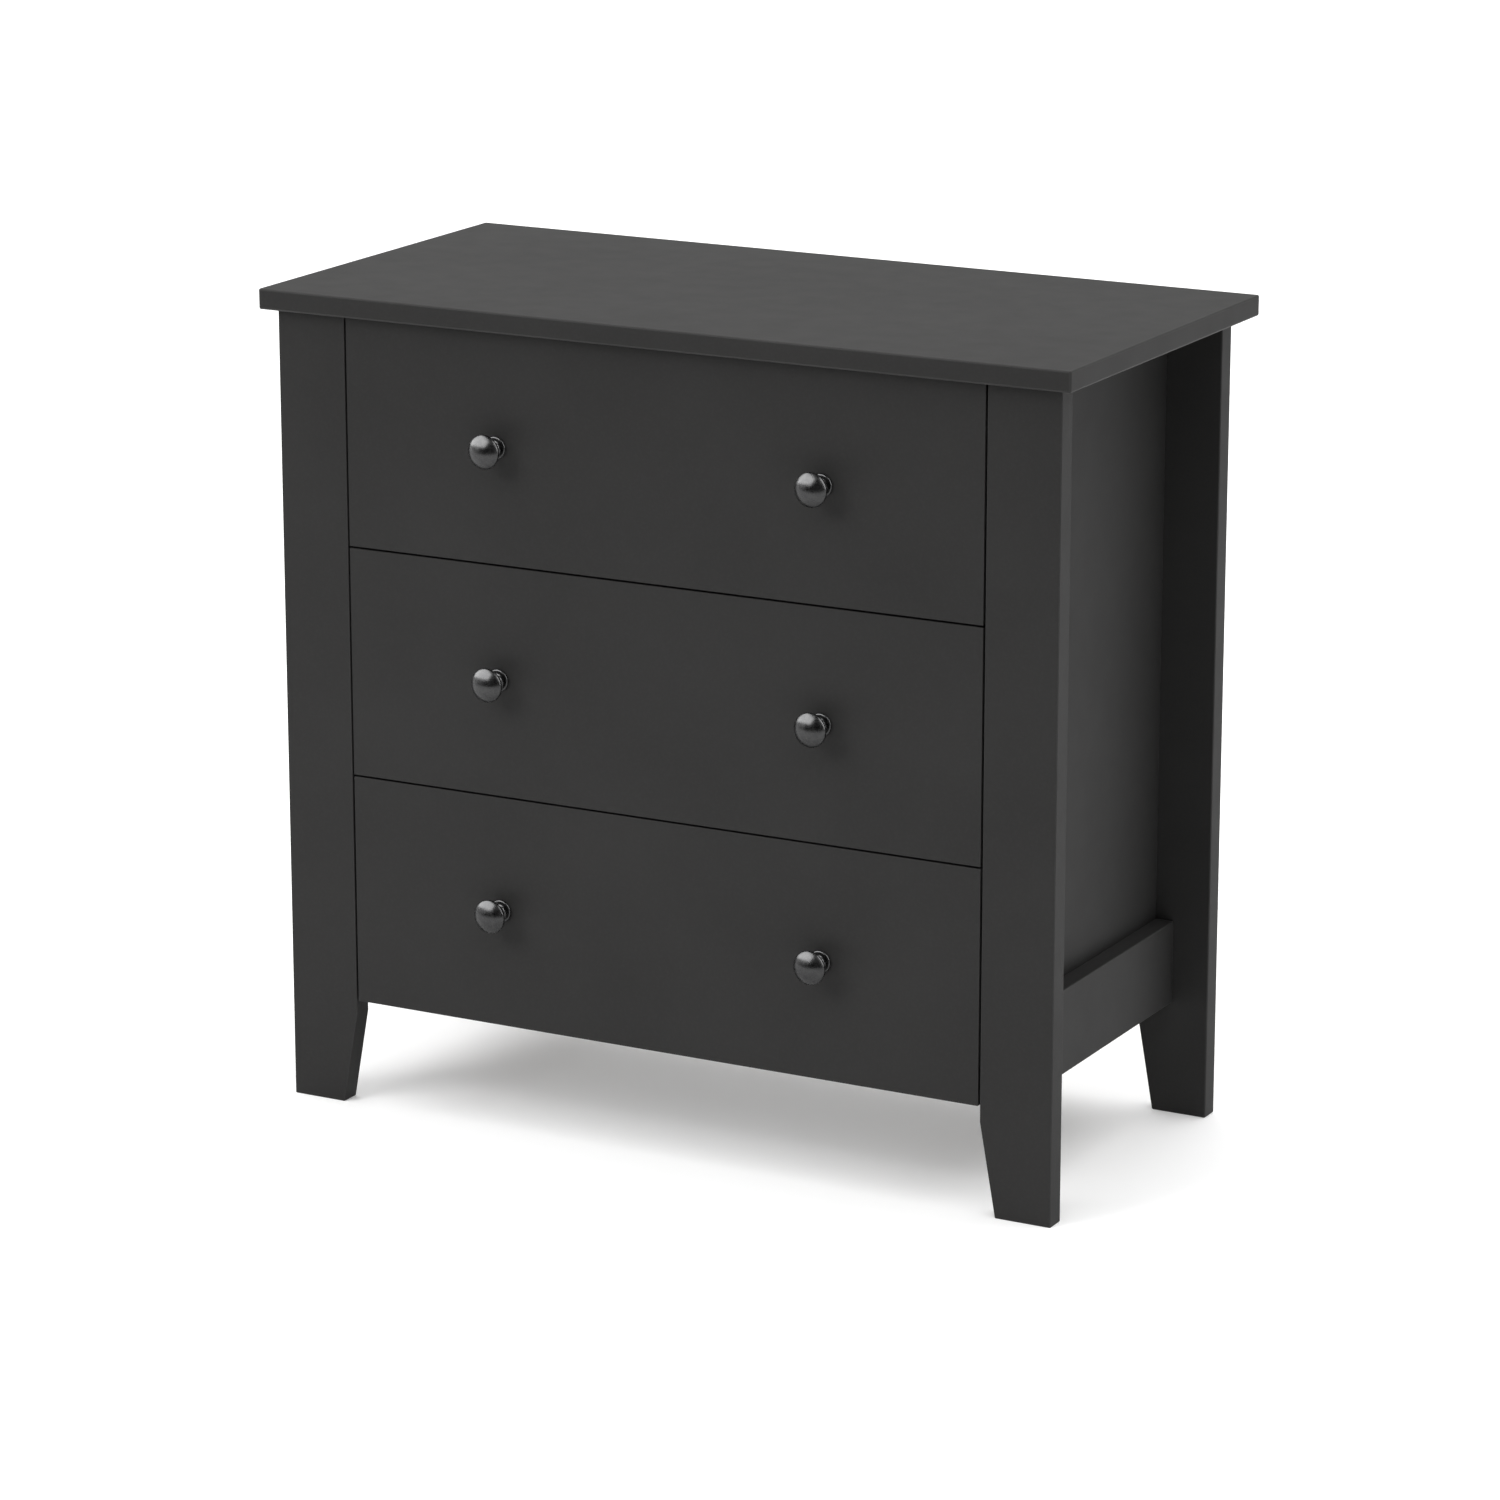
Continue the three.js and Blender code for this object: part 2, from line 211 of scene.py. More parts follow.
def paint(name, dark, light, specular):
    """Satin charcoal paint: soft cloudy variation, a fine sprayed stipple and uneven sheen."""
    t = Tree(name)
    clouds = t.noise(7.0, detail=4.0, rough=0.55)
    fine = t.noise(420.0, detail=2.0)
    colour = t.tinted(dark, light, clouds, 0.3, 0.7)
    colour = t.tinted(colour, PAINT_SPECK, fine, 0.45, 0.7, most=0.12)
    sheen = t.between(t.noise(38.0, detail=5.0), 0.47, 0.51, start=0.3, stop=0.7)
    waves = t.bump(t.noise(60.0, detail=1.0), WAVE_DEPTH)
    stipple = t.bump(t.noise(850.0, detail=2.0), STIPPLE_DEPTH, waves)
    return t.finish(
        Base_Color=colour,
        Roughness=sheen,
        Normal=stipple,
        Specular_IOR_Level=specular,
    )


def plywood(name, thickness_axis, grain_axis):
    """Clear-lacquered birch plywood, with its plies along the board's edges."""
    t = Tree(name)
    streaks = t.noise(drawn_out(95.0, 5.0, grain_axis), detail=6.0, rough=0.6, distortion=0.35)
    pores = t.noise(drawn_out(1500.0, 60.0, grain_axis), detail=2.0)
    broad = t.noise(6.0, detail=2.0)
    face = t.tinted(BIRCH_BROWN, BIRCH_PALE, streaks, 0.3, 0.72)
    face = t.tinted(face, BIRCH_PATCH, broad, 0.35, 0.7, most=0.35)
    face = t.tinted(face, BIRCH_PORE, pores, 0.6, 0.75, most=0.35)
    depth = t.math("ABSOLUTE", t.separate("Object")[thickness_axis])
    plies = t.math("PINGPONG", depth, PLY_THICKNESS)
    edge = t.tinted(PLY_PALE, PLY_BROWN, plies, 0.4 * PLY_THICKNESS, 0.6 * PLY_THICKNESS)
    edge = t.tinted(edge, PLY_FLECK, t.noise(900.0), 0.45, 0.7, most=0.4)
    facing = t.math("ABSOLUTE", t.separate("Normal")[thickness_axis])
    colour = t.tinted(edge, face, facing, 0.55, 0.7)
    relief = t.math("ADD", streaks, t.math("MULTIPLY", pores, -0.6))
    return t.finish(
        Base_Color=colour,
        Roughness=t.between(streaks, 0.36, 0.5),
        Normal=t.bump(relief, GRAIN_DEPTH),
        Coat_Weight=LACQUER,
        Coat_Roughness=LACQUER_ROUGHNESS,
    )


def foil_board():
    """Thin fibreboard with a light grey printed foil of faint linen threads."""
    t = Tree("foil_board")
    warp = t.noise(drawn_out(1400.0, 45.0, Y))
    weft = t.noise(drawn_out(1400.0, 45.0, X))
    threads = t.math("MULTIPLY", t.math("ADD", warp, weft), 0.5)
    clouds = t.noise(8.0)
    colour = t.tinted(FOIL_DARK, FOIL_LIGHT, threads, 0.38, 0.62)
    colour = t.tinted(colour, FOIL_PATCH, clouds, 0.35, 0.7, most=0.3)
    return t.finish(
        Base_Color=colour,
        Roughness=t.between(threads, 0.42, 0.58, start=0.3, stop=0.7),
        Normal=t.bump(threads, THREAD_DEPTH),
    )


def hardboard():
    """Brown hardboard: matted fibres, with the weave of the press screen as fine relief."""
    t = Tree("hardboard")
    fibres = t.noise((520.0, 520.0, 330.0), detail=5.0, rough=0.7, distortion=2.2)
    clumps = t.noise((300.0, 520.0, 600.0), detail=4.0, rough=0.65, distortion=2.0)
    broad = t.noise(9.0)
    colour = t.tinted(FIBRE_BROWN, FIBRE_PALE, fibres, 0.35, 0.68)
    colour = t.tinted(colour, FIBRE_CLUMP, clumps, 0.5, 0.72, most=0.6)
    colour = t.tinted(colour, FIBRE_PATCH, broad, 0.4, 0.65, most=0.3)
    place = t.separate("Object")
    wires = [
        t.math("SINE", t.math("MULTIPLY", place[axis], 2 * math.pi / SCREEN_PITCH))
        for axis in (X, Z)
    ]
    weave = t.math("MULTIPLY", wires[0], wires[1])
    return t.finish(
        Base_Color=colour,
        Roughness=t.between(fibres, 0.62, 0.8),
        Normal=t.bump(weave, SCREEN_DEPTH, t.bump(fibres, FIBRE_DEPTH)),
        Specular_IOR_Level=0.3,
    )


def plated_steel(name, colour, smooth, rough, line_scale):
    """Plated metal with rolling lines and cloudy plating. Its roughness is from smooth to rough."""
    t = Tree(name)
    lines = t.noise(line_scale, rough=0.6)
    clouds = t.noise(60.0, detail=4.0)
    darker = tuple(PLATING_SHADE * channel for channel in colour[:3]) + (1.0,)
    tint = t.tinted(colour, darker, clouds, 0.35, 0.7, most=0.6)
    tint = t.tinted(tint, darker, lines, 0.5, 0.75, most=0.35)
    sheen = t.between(t.math("ADD", lines, clouds), smooth, rough, start=0.7, stop=1.3)
    return t.finish(
        Base_Color=tint,
        Metallic=1.0,
        Roughness=sheen,
        Normal=t.bump(lines, ROLLING_DEPTH),
    )


def black_nickel():
    """Polished black nickel: a dark mirror with faint buffing marks and handling haze."""
    t = Tree("black_nickel")
    haze = t.noise(260.0, detail=4.0, rough=0.6)
    marks = t.noise((2600.0, 500.0, 900.0), detail=2.0)
    return t.finish(
        Base_Color=t.tinted(NICKEL_DARK, NICKEL_PALE, haze, 0.35, 0.7),
        Metallic=1.0,
        Roughness=t.between(haze, 0.25, 0.31, start=0.35, stop=0.7),
        Normal=t.bump(marks, BUFFING_DEPTH),
    )


def studio_floor():
    """Matt white paper with barely visible cloudiness."""
    t = Tree("studio_floor")
    clouds = t.noise(1.5)
    tooth = t.noise(600.0, detail=2.0)
    return t.finish(
        Base_Color=t.tinted(PAPER_DARK, PAPER_LIGHT, clouds, 0.3, 0.7),
        Roughness=0.9,
        Specular_IOR_Level=0.1,
        Normal=t.bump(tooth, PAPER_TOOTH_DEPTH),
        Emission_Color=grey(1.0),
        Emission_Strength=FLOOR_GLOW,
    )


PAINT = paint("charcoal_paint", PAINT_DARK, PAINT_LIGHT, specular=0.073)
# The bevels get a paler paint: partly wear, partly a painted highlight along the edges that catch
# the light.
PAINT_EDGE = paint("charcoal_paint_edge", PAINT_LIGHT, PAINT_WEAR_AND_HIGHLIGHT, specular=0.12)
PLY_SIDE = plywood("birch_ply_side", thickness_axis=X, grain_axis=Y)
PLY_BACK = plywood("birch_ply_back", thickness_axis=Y, grain_axis=X)
FOIL_BOARD = foil_board()
HARDBOARD = hardboard()
SLIDE_STEEL = plated_steel(
    "slide_steel", ZINC, smooth=0.24, rough=0.42, line_scale=drawn_out(500.0, 12.0, Y))
CAGE_STEEL = plated_steel(
    "cage_steel", DULL_STEEL, smooth=0.3, rough=0.48, line_scale=drawn_out(500.0, 20.0, Y))
BALL_STEEL = plated_steel("ball_steel", POLISHED_STEEL, smooth=0.08, rough=0.16, line_scale=400.0)
SCREW_STEEL = plated_steel("screw_steel", WARM_ZINC, smooth=0.2, rough=0.36, line_scale=900.0)
NAIL_STEEL = plated_steel("nail_steel", BARE_STEEL, smooth=0.34, rough=0.5, line_scale=900.0)
KNOB_METAL = black_nickel()

# ------------------------------------------------------------------ finish of the CAD nodes

SAME_PLACE = 0.01 * MM
SAME_FACE = math.radians(1)
SHARP_EDGE = math.radians(35)
FACE_WEIGHT = 100

BOX_EDGE = 0.7 * MM
THIN_EDGE = 0.3 * MM
# The radius of the eased edges of each painted board.
PAINTED = {
    "top_panel": 2.0 * MM,
    "front_leg_left": 0.8 * MM,
    "front_leg_right": 0.8 * MM,
    "rear_leg_left": 1.3 * MM,
    "rear_leg_right": 1.3 * MM,
    "side_panel_left": 0.4 * MM,
    "side_panel_right": 0.4 * MM,
    "side_rail_left": 1.2 * MM,
    "side_rail_right": 1.2 * MM,
    "top_rail_front": 0.8 * MM,
    "top_rail_rear": 0.8 * MM,
    "bottom_rail_front": 0.8 * MM,
    "bottom_rail_rear": 0.8 * MM,
    "top_drawer_front": 0.5 * MM,
    "middle_drawer_front": 0.5 * MM,
    "bottom_drawer_front": 0.5 * MM,
}


def smooth_group():
    """A modifier tree that shades every face smooth, for the weighted normals that come later."""
    group = bpy.data.node_groups.new("shade_smooth", "GeometryNodeTree")
    group.interface.new_socket("Geometry", in_out="INPUT", socket_type="NodeSocketGeometry")
    group.interface.new_socket("Geometry", in_out="OUTPUT", socket_type="NodeSocketGeometry")
    start = group.nodes.new("NodeGroupInput")
    smooth = group.nodes.new("GeometryNodeSetShadeSmooth")
    stop = group.nodes.new("NodeGroupOutput")
    group.links.new(start.outputs[0], smooth.inputs["Geometry"])
    group.links.new(smooth.outputs["Geometry"], stop.inputs[0])
    return group


SMOOTH = smooth_group()


def ease_edges(obj, radius, segments=3, edge_slot=None):
    """Rounds a CAD node's edges by modifiers: joins its facets into flat faces, then bevels. The
    bevels take the material in edge_slot, or else that of their faces."""
    obj.modifiers.new("join_facets", "WELD").merge_threshold = SAME_PLACE
    flat = obj.modifiers.new("flat_faces", "DECIMATE")
    flat.decimate_type = "DISSOLVE"
    flat.angle_limit = SAME_FACE
    obj.modifiers.new("smooth", "NODES").node_group = SMOOTH
    bevel = obj.modifiers.new("eased_edges", "BEVEL")
    bevel.width = radius
    bevel.segments = segments
    bevel.limit_method = "ANGLE"
    bevel.angle_limit = SHARP_EDGE
    bevel.miter_outer = "MITER_ARC"
    if edge_slot is not None:
        bevel.material = edge_slot
    obj.modifiers.new("flat_shading", "WEIGHTED_NORMAL").weight = FACE_WEIGHT


def dress(node, *materials):
    """Gives a CAD node its materials, one for each slot."""
    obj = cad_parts[node]
    obj.data.materials.clear()
    for material in materials:
        obj.data.materials.append(material)
    return obj


for node, radius in PAINTED.items():
    ease_edges(dress(node, PAINT, PAINT_EDGE), radius, segments=4, edge_slot=1)
ease_edges(dress("back_panel", HARDBOARD), THIN_EDGE, segments=2)
for drawer in DRAWERS:
    ease_edges(dress(f"{drawer}_drawer_back", PLY_BACK), BOX_EDGE)
    ease_edges(dress(f"{drawer}_drawer_bottom", FOIL_BOARD), THIN_EDGE, segments=2)
    for side in SIDES:
        ease_edges(dress(f"{drawer}_drawer_side_{side}", PLY_SIDE), BOX_EDGE)
        for member in ("cabinet", "middle", "drawer"):
            ease_edges(dress(f"{drawer}_slide_{member}_{side}", SLIDE_STEEL), THIN_EDGE)

# ------------------------------------------------------------------ mesh helpers

ON_AXIS = 1e-9


def arc(centre, radius, start, stop, steps):
    """Points of an arc in a profile, from one angle to another in degrees."""
    angles = [math.radians(start + (stop - start) * step / steps) for step in range(steps + 1)]
    return [(centre[0] + radius * math.cos(a), centre[1] + radius * math.sin(a)) for a in angles]


def swell(inner, outer, low, high, steps):
    """Points of a quarter ellipse in a profile, from (outer, low) up to (inner, high)."""
    angles = [math.radians(90 * step / steps) for step in range(steps + 1)]
    width = outer - inner
    height = high - low
    return [(inner + width * math.cos(a), low + height * math.sin(a)) for a in angles]


def piece(name, vertices, faces, material, body, slot, sharp=35):
    """A new piece that rides on a body, shaded smooth except across edges sharper than an angle
    in degrees."""
    mesh = bpy.data.meshes.new(name)
    mesh.from_pydata(vertices, [], faces)
    mesh.materials.append(material)
    mesh.shade_smooth()
    mesh.set_sharp_from_angle(angle=math.radians(sharp))
    obj = bpy.data.objects.new(name, mesh)
    bpy.context.scene.collection.objects.link(obj)
    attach(obj, body)
    return obj


def turned(profile, steps):
    """Vertices and faces of a turned solid about Z, from (radius, height) points that start on the
    axis. It is closed where the profile ends on the axis, and else left open at its last ring."""
    closed = profile[-1][0] < ON_AXIS
    rings = profile[1:-1] if closed else profile[1:]
    vertices = [(0.0, 0.0, profile[0][1])]
    for radius, height in rings:
        for step in range(steps):
            angle = 2 * math.pi * step / steps
            vertices.append((radius * math.cos(angle), radius * math.sin(angle), height))
    last = 1 + (len(rings) - 1) * steps
    faces = []
    for step in range(steps):
        after = (step + 1) % steps
        faces.append((0, 1 + after, 1 + step))
        for low in range(1, last, steps):
            high = low + steps
            faces.append((low + step, low + after, high + after, high + step))
    if closed:
        tip = len(vertices)
        vertices.append((0.0, 0.0, profile[-1][1]))
        faces += [(last + step, last + (step + 1) % steps, tip) for step in range(steps)]
    return vertices, faces


def extruded(outline, start, stop):
    """Vertices and faces of a prism along Y, from (x, z) points that run anticlockwise from -Y."""
    count = len(outline)
    vertices = [(x, y, z) for y in (start, stop) for x, z in outline]
    faces = [tuple(range(count)), tuple(reversed(range(count, 2 * count)))]
    for corner in range(count):
        after = (corner + 1) % count
        faces.append((corner, corner + count, after + count, after))
    return vertices, faces


def placed(vertices, origin, axis, across):
    """Moves vertices made about Z to an origin, with Z along axis and X along across."""
    axis = Vector(axis)
    across = Vector(across)
    third = axis.cross(across)
    return [tuple(Vector(origin) + across * x + third * y + axis * z) for x, y, z in vertices]


def joined(parts):
    """One list of vertices and faces from several."""
    vertices = []
    faces = []
    for part_vertices, part_faces in parts:
        start = len(vertices)
        vertices.extend(part_vertices)
        faces.extend(tuple(start + index for index in face) for face in part_faces)
    return vertices, faces


def spaced(start, stop, pitch):
    """Even places from start to stop, both included, about a pitch apart."""
    count = max(1, round((stop - start) / pitch))
    return [start + (stop - start) * step / count for step in range(count + 1)]


def step_middles(count, start, length):
    """The middles of equal steps along a length."""
    return [start + length * (step + 0.5) / count for step in range(count)]


# ------------------------------------------------------------------ knobs

KNOB_STEPS = 72
KNOB_CURVE_STEPS = 8
KNOB_RIM_STEPS = 10
KNOB_DOME_STEPS = 16
KNOB_BASE_RADIUS = 10.5 * MM
KNOB_BASE_HEIGHT = 3 * MM
KNOB_NECK_RADIUS = 5 * MM
KNOB_NECK_FOOT = 2.5 * MM
KNOB_NECK_FLARE = 5.5 * MM
KNOB_DOME_HEIGHT = 7 * MM
KNOB_RIM_RADIUS = 2 * MM
# How far the middle of the rim's rounding lies behind the dome, in rim radii.
KNOB_RIM_SETBACK = 0.4
# Where the rim's rounding starts and ends, in degrees from straight outwards.
KNOB_RIM_BACK = -80
KNOB_RIM_FRONT = 42
KNOB_SHARP_EDGE = 50


def knob_profile(head_radius, reach):
    """(radius, distance from the drawer front): base, waisted neck, rounded rim and dome."""
    rim = reach - KNOB_DOME_HEIGHT - KNOB_RIM_RADIUS * KNOB_RIM_SETBACK
    edge = KNOB_BASE_HEIGHT / 2
    base = arc((KNOB_BASE_RADIUS - edge, edge), edge, -90, 90, KNOB_CURVE_STEPS)
    foot = (KNOB_NECK_RADIUS + KNOB_NECK_FOOT, KNOB_BASE_HEIGHT + KNOB_NECK_FOOT)
    neck_foot = arc(foot, KNOB_NECK_FOOT, 270, 180, KNOB_CURVE_STEPS)
    flare = (KNOB_NECK_RADIUS + KNOB_NECK_FLARE, rim - KNOB_RIM_RADIUS - KNOB_NECK_FLARE)
    neck_head = arc(flare, KNOB_NECK_FLARE, 180, 180 + KNOB_RIM_BACK, KNOB_CURVE_STEPS)
    rim_middle = (head_radius - KNOB_RIM_RADIUS, rim)
    rim_edge = arc(rim_middle, KNOB_RIM_RADIUS, KNOB_RIM_BACK, KNOB_RIM_FRONT, KNOB_RIM_STEPS)
    shoulder_radius, shoulder = rim_edge[-1]
    rise = reach - shoulder
    sphere = (shoulder_radius ** 2 + rise ** 2) / (2 * rise)
    slope = math.degrees(math.asin(shoulder_radius / sphere))
    dome = arc((0.0, reach - sphere), sphere, 90 - slope, 90, KNOB_DOME_STEPS)[1:]
    dome[-1] = (0.0, reach)
    return [(0.0, 0.0), *base, *neck_foot, *neck_head, *rim_edge, *dome]


def make_knob(drawer, side):
    """The turned knob that stands for a CAD knob, as wide and as long as it."""
    node = f"{drawer}_knob_{side}"
    low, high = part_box(node)
    head_radius = (high.x - low.x) / 2
    reach = high.y - low.y
    vertices, faces = turned(knob_profile(head_radius, reach), KNOB_STEPS)
    centre = ((low.x + high.x) / 2, high.y, (low.z + high.z) / 2)
    vertices = placed(vertices, centre, (0, -1, 0), (1, 0, 0))
    body = f"{drawer}_drawer"
    knob = piece(f"{node}_turned", vertices, faces, KNOB_METAL, body, "knob_metal", KNOB_SHARP_EDGE)
    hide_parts(node)
    return knob


KNOBS = [make_knob(drawer, side) for drawer in DRAWERS for side in SIDES]

# ------------------------------------------------------------------ screws and nails

SCREW_STEPS = 48
SCREW_HEAD_STEPS = 8
QUARTER = SCREW_STEPS // 4
# Each arm of a cross recess spreads to this many steps of the head on either side of it.
CROSS_SPREAD = SCREW_STEPS // 24
# The cosine and sine of each quarter turn.
QUARTER_TURNS = ((1, 0), (0, 1), (-1, 0), (0, -1))
ARM_CORNERS = 3
CROSS_CORNERS = 4 * ARM_CORNERS
# The floor of a cross recess, as shares of its mouth.
RECESS_FLOOR_ARM = 0.45
RECESS_FLOOR_WIDTH = 0.6
# The first ring of a screw's blunt tip, in shank radii.
TIP_RADIUS = 0.7
TIP_RISE = 0.4
# The flat on top of a head, in head radii.
PAN_HEAD_FLAT = 0.62
FLUSH_HEAD_FLAT = 0.85

KNOB_SCREW_SHANK = 2 * MM
# The cross recess of a knob screw, in head radii and head heights.
KNOB_SCREW_ARM = 0.5
KNOB_SCREW_HALF_WIDTH = 0.13
KNOB_SCREW_DEPTH = 0.6

SLIDE_WEB = 1.2 * MM
SLIDE_HOLE_INSET = 35 * MM
SLIDE_HOLE_RADIUS = 2.2 * MM
SLIDE_SCREW_SHANK = 1.7 * MM
SLIDE_SCREW_LENGTH = 9 * MM
SLIDE_SCREW_ARM = 1.4 * MM
SLIDE_SCREW_HALF_WIDTH = 0.36 * MM
SLIDE_SCREW_DEPTH = 0.9 * MM
FLUSH_HEAD_RADIUS = SLIDE_HOLE_RADIUS - 0.1 * MM
FLUSH_HEAD_HEIGHT = SLIDE_WEB + 0.1 * MM
PAN_HEAD_RADIUS = 3.3 * MM
PAN_HEAD_HEIGHT = 1.5 * MM

NAIL_STEPS = 20
NAIL_HEAD_STEPS = 5
NAIL_HEAD_RADIUS = 2.6 * MM
NAIL_HEAD_HEIGHT = 0.8 * MM
NAIL_SHANK_RADIUS = 0.7 * MM
NAIL_SHANK_LENGTH = 2.5 * MM
NAIL_INSET = 5 * MM
NAIL_PITCH = 90 * MM


def cross(arm, half_width, height):
    """The twelve corners of a cross about Z, one arm after the other."""
    arm_corners = ((arm, -half_width), (arm, half_width), (half_width, half_width))
    return [
        (x * cosine - y * sine, x * sine + y * cosine, height)
        for cosine, sine in QUARTER_TURNS
        for x, y in arm_corners
    ]


def cross_head_screw(profile, arm, half_width, depth):
    """A screw about Z with a tapered cross recess in the flat at the profile's open end."""
    vertices, faces = turned(profile, SCREW_STEPS)
    ring = len(vertices) - SCREW_STEPS
    mouth = len(vertices)
    floor = mouth + CROSS_CORNERS
    top = profile[-1][1]
    vertices += cross(arm, half_width, top)
    vertices += cross(arm * RECESS_FLOOR_ARM, half_width * RECESS_FLOOR_WIDTH, top - depth)

    def edge(turn, first, last):
        """The flat's outer ring, from one step to another as counted from an arm of the cross."""
        return [ring + (turn * QUARTER + step) % SCREW_STEPS for step in range(first, last + 1)]

    for turn in range(4):
        left, right, inner = (mouth + ARM_CORNERS * turn + corner for corner in range(ARM_CORNERS))
        following = mouth + ARM_CORNERS * (turn + 1) % CROSS_CORNERS
        faces.append((left, *edge(turn, -CROSS_SPREAD, CROSS_SPREAD), right))
        faces.append((inner, right, *edge(turn, CROSS_SPREAD, QUARTER - CROSS_SPREAD), following))
    for corner in range(CROSS_CORNERS):
        after = (corner + 1) % CROSS_CORNERS
        faces.append((mouth + corner, mouth + after, floor + after, floor + corner))
    faces.append(tuple(floor + corner for corner in range(CROSS_CORNERS)))
    return vertices, faces


def screw_profile(radius, height, flat, shank_radius, shank_length):
    """From the screw's tip to the flat around its recess. The head's underside is at height 0."""
    return [
        (0.0, -shank_length),
        (shank_radius * TIP_RADIUS, shank_radius * TIP_RISE - shank_length),
        (shank_radius, shank_radius - shank_length),
        (shank_radius, 0.0),
        *swell(flat, radius, 0.0, height, SCREW_HEAD_STEPS),
    ]


def make_knob_screw(drawer, side):
    """The machine screw that holds a knob, seen on the back of the drawer front."""
    node = f"{drawer}_knob_screw_{side}"
    low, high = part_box(node)
    front_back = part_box(f"{drawer}_drawer_front")[1].y
    radius = (high.x - low.x) / 2
    height = high.y - front_back
    profile = screw_profile(
        radius, height, PAN_HEAD_FLAT * radius, KNOB_SCREW_SHANK, front_back - low.y)
    vertices, faces = cross_head_screw(
        profile, KNOB_SCREW_ARM * radius, KNOB_SCREW_HALF_WIDTH * radius, KNOB_SCREW_DEPTH * height)
    centre = ((low.x + high.x) / 2, front_back, (low.z + high.z) / 2)
    vertices = placed(vertices, centre, (0, 1, 0), (1, 0, 0))
    body = f"{drawer}_drawer"
    screw = piece(f"{node}_cross_head", vertices, faces, SCREW_STEEL, body, "screw_steel")
    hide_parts(node)


def make_slide_screws(drawer, side, member):
    """The two wood screws of a cabinet or a drawer member. The heads lie flush in the web of the
    cabinet member, which the middle member passes closely, and on the web of the drawer member."""
    low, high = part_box(f"{drawer}_slide_{member}_{side}")
    in_cabinet = member == "cabinet"
    to_wood = SIDES[side] if in_cabinet else -SIDES[side]
    wood_face = high.x if to_wood > 0 else low.x
    if in_cabinet:
        body = "root"
        seat = wood_face
        head = (FLUSH_HEAD_RADIUS, FLUSH_HEAD_HEIGHT, FLUSH_HEAD_FLAT * FLUSH_HEAD_RADIUS)
    else:
        body = f"{drawer}_drawer"
        seat = wood_face - to_wood * SLIDE_WEB
        head = (PAN_HEAD_RADIUS, PAN_HEAD_HEIGHT, PAN_HEAD_FLAT * PAN_HEAD_RADIUS)
    profile = screw_profile(*head, SLIDE_SCREW_SHANK, SLIDE_SCREW_LENGTH)
    parts = []
    for along in (low.y + SLIDE_HOLE_INSET, high.y - SLIDE_HOLE_INSET):
        vertices, faces = cross_head_screw(
            profile, SLIDE_SCREW_ARM, SLIDE_SCREW_HALF_WIDTH, SLIDE_SCREW_DEPTH)
        place = (seat, along, (low.z + high.z) / 2)
        parts.append((placed(vertices, place, (-to_wood, 0, 0), (0, 0, 1)), faces))
    name = f"{drawer}_slide_{member}_screws_{side}"
    piece(name, *joined(parts), SCREW_STEEL, body, "screw_steel")


def make_back_nails():
    """The flat-headed nails around the back panel, into the rear legs and rails."""
    low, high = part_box("back_panel")
    left = low.x + NAIL_INSET
    right = high.x - NAIL_INSET
    bottom = low.z + 2 * NAIL_INSET
    top = high.z - 2 * NAIL_INSET
    places = [(x, z) for x in (left, right) for z in spaced(bottom, top, NAIL_PITCH)]
    places += [(x, z) for z in (bottom, top) for x in spaced(left, right, NAIL_PITCH)[1:-1]]
    profile = [
        (0.0, -NAIL_SHANK_LENGTH),
        (NAIL_SHANK_RADIUS, -NAIL_SHANK_LENGTH),
        (NAIL_SHANK_RADIUS, 0.0),
        *swell(0.0, NAIL_HEAD_RADIUS, 0.0, NAIL_HEAD_HEIGHT, NAIL_HEAD_STEPS),
    ]
    parts = []
    for x, z in places:
        vertices, faces = turned(profile, NAIL_STEPS)
        parts.append((placed(vertices, (x, high.y, z), (0, 1, 0), (0, 0, 1)), faces))
    piece("back_panel_nails", *joined(parts), NAIL_STEEL, "root", "screw_steel")


make_back_nails()
for drawer in DRAWERS:
    for side in SIDES:
        make_knob_screw(drawer, side)
        make_slide_screws(drawer, side, "cabinet")
        make_slide_screws(drawer, side, "drawer")

# ------------------------------------------------------------------ balls of the slides

# The outer row of balls runs between the cabinet and the middle member, the inner row between the
# middle and the drawer member. A row's cage starts behind the front of the slide. Its web, its tips
# and the balls' middles are given by how far they stand off the side panel, and the balls by their
# height above and below the slide's middle line.
CAGES = {
    "outer": {
        "start": 190 * MM,
        "web": 1.45 * MM,
        "web_back": 1.95 * MM,
        "tip": 8.0 * MM,
        "ball_height": 19.4 * MM,
        "ball_offset": 5.9 * MM,
        "ball_radius": 1.85 * MM,
    },
    "inner": {
        "start": 6 * MM,
        "web": 3.5 * MM,
        "web_back": 3.85 * MM,
        "tip": 9.9 * MM,
        "ball_height": 14.65 * MM,
        "ball_offset": 7.8 * MM,
        "ball_radius": 1.6 * MM,
    },
}
CAGE_LENGTH = 100 * MM
CAGE_SHEET = 0.5 * MM
BALLS_IN_ROW = 8
BALL_STEPS = 16


def ball(centre, radius):
    """Vertices and faces of one ball."""
    profile = arc((0.0, 0.0), radius, -90, 90, BALL_STEPS // 2)
    vertices, faces = turned(profile, BALL_STEPS)
    return placed(vertices, centre, (0, 0, 1), (1, 0, 0)), faces


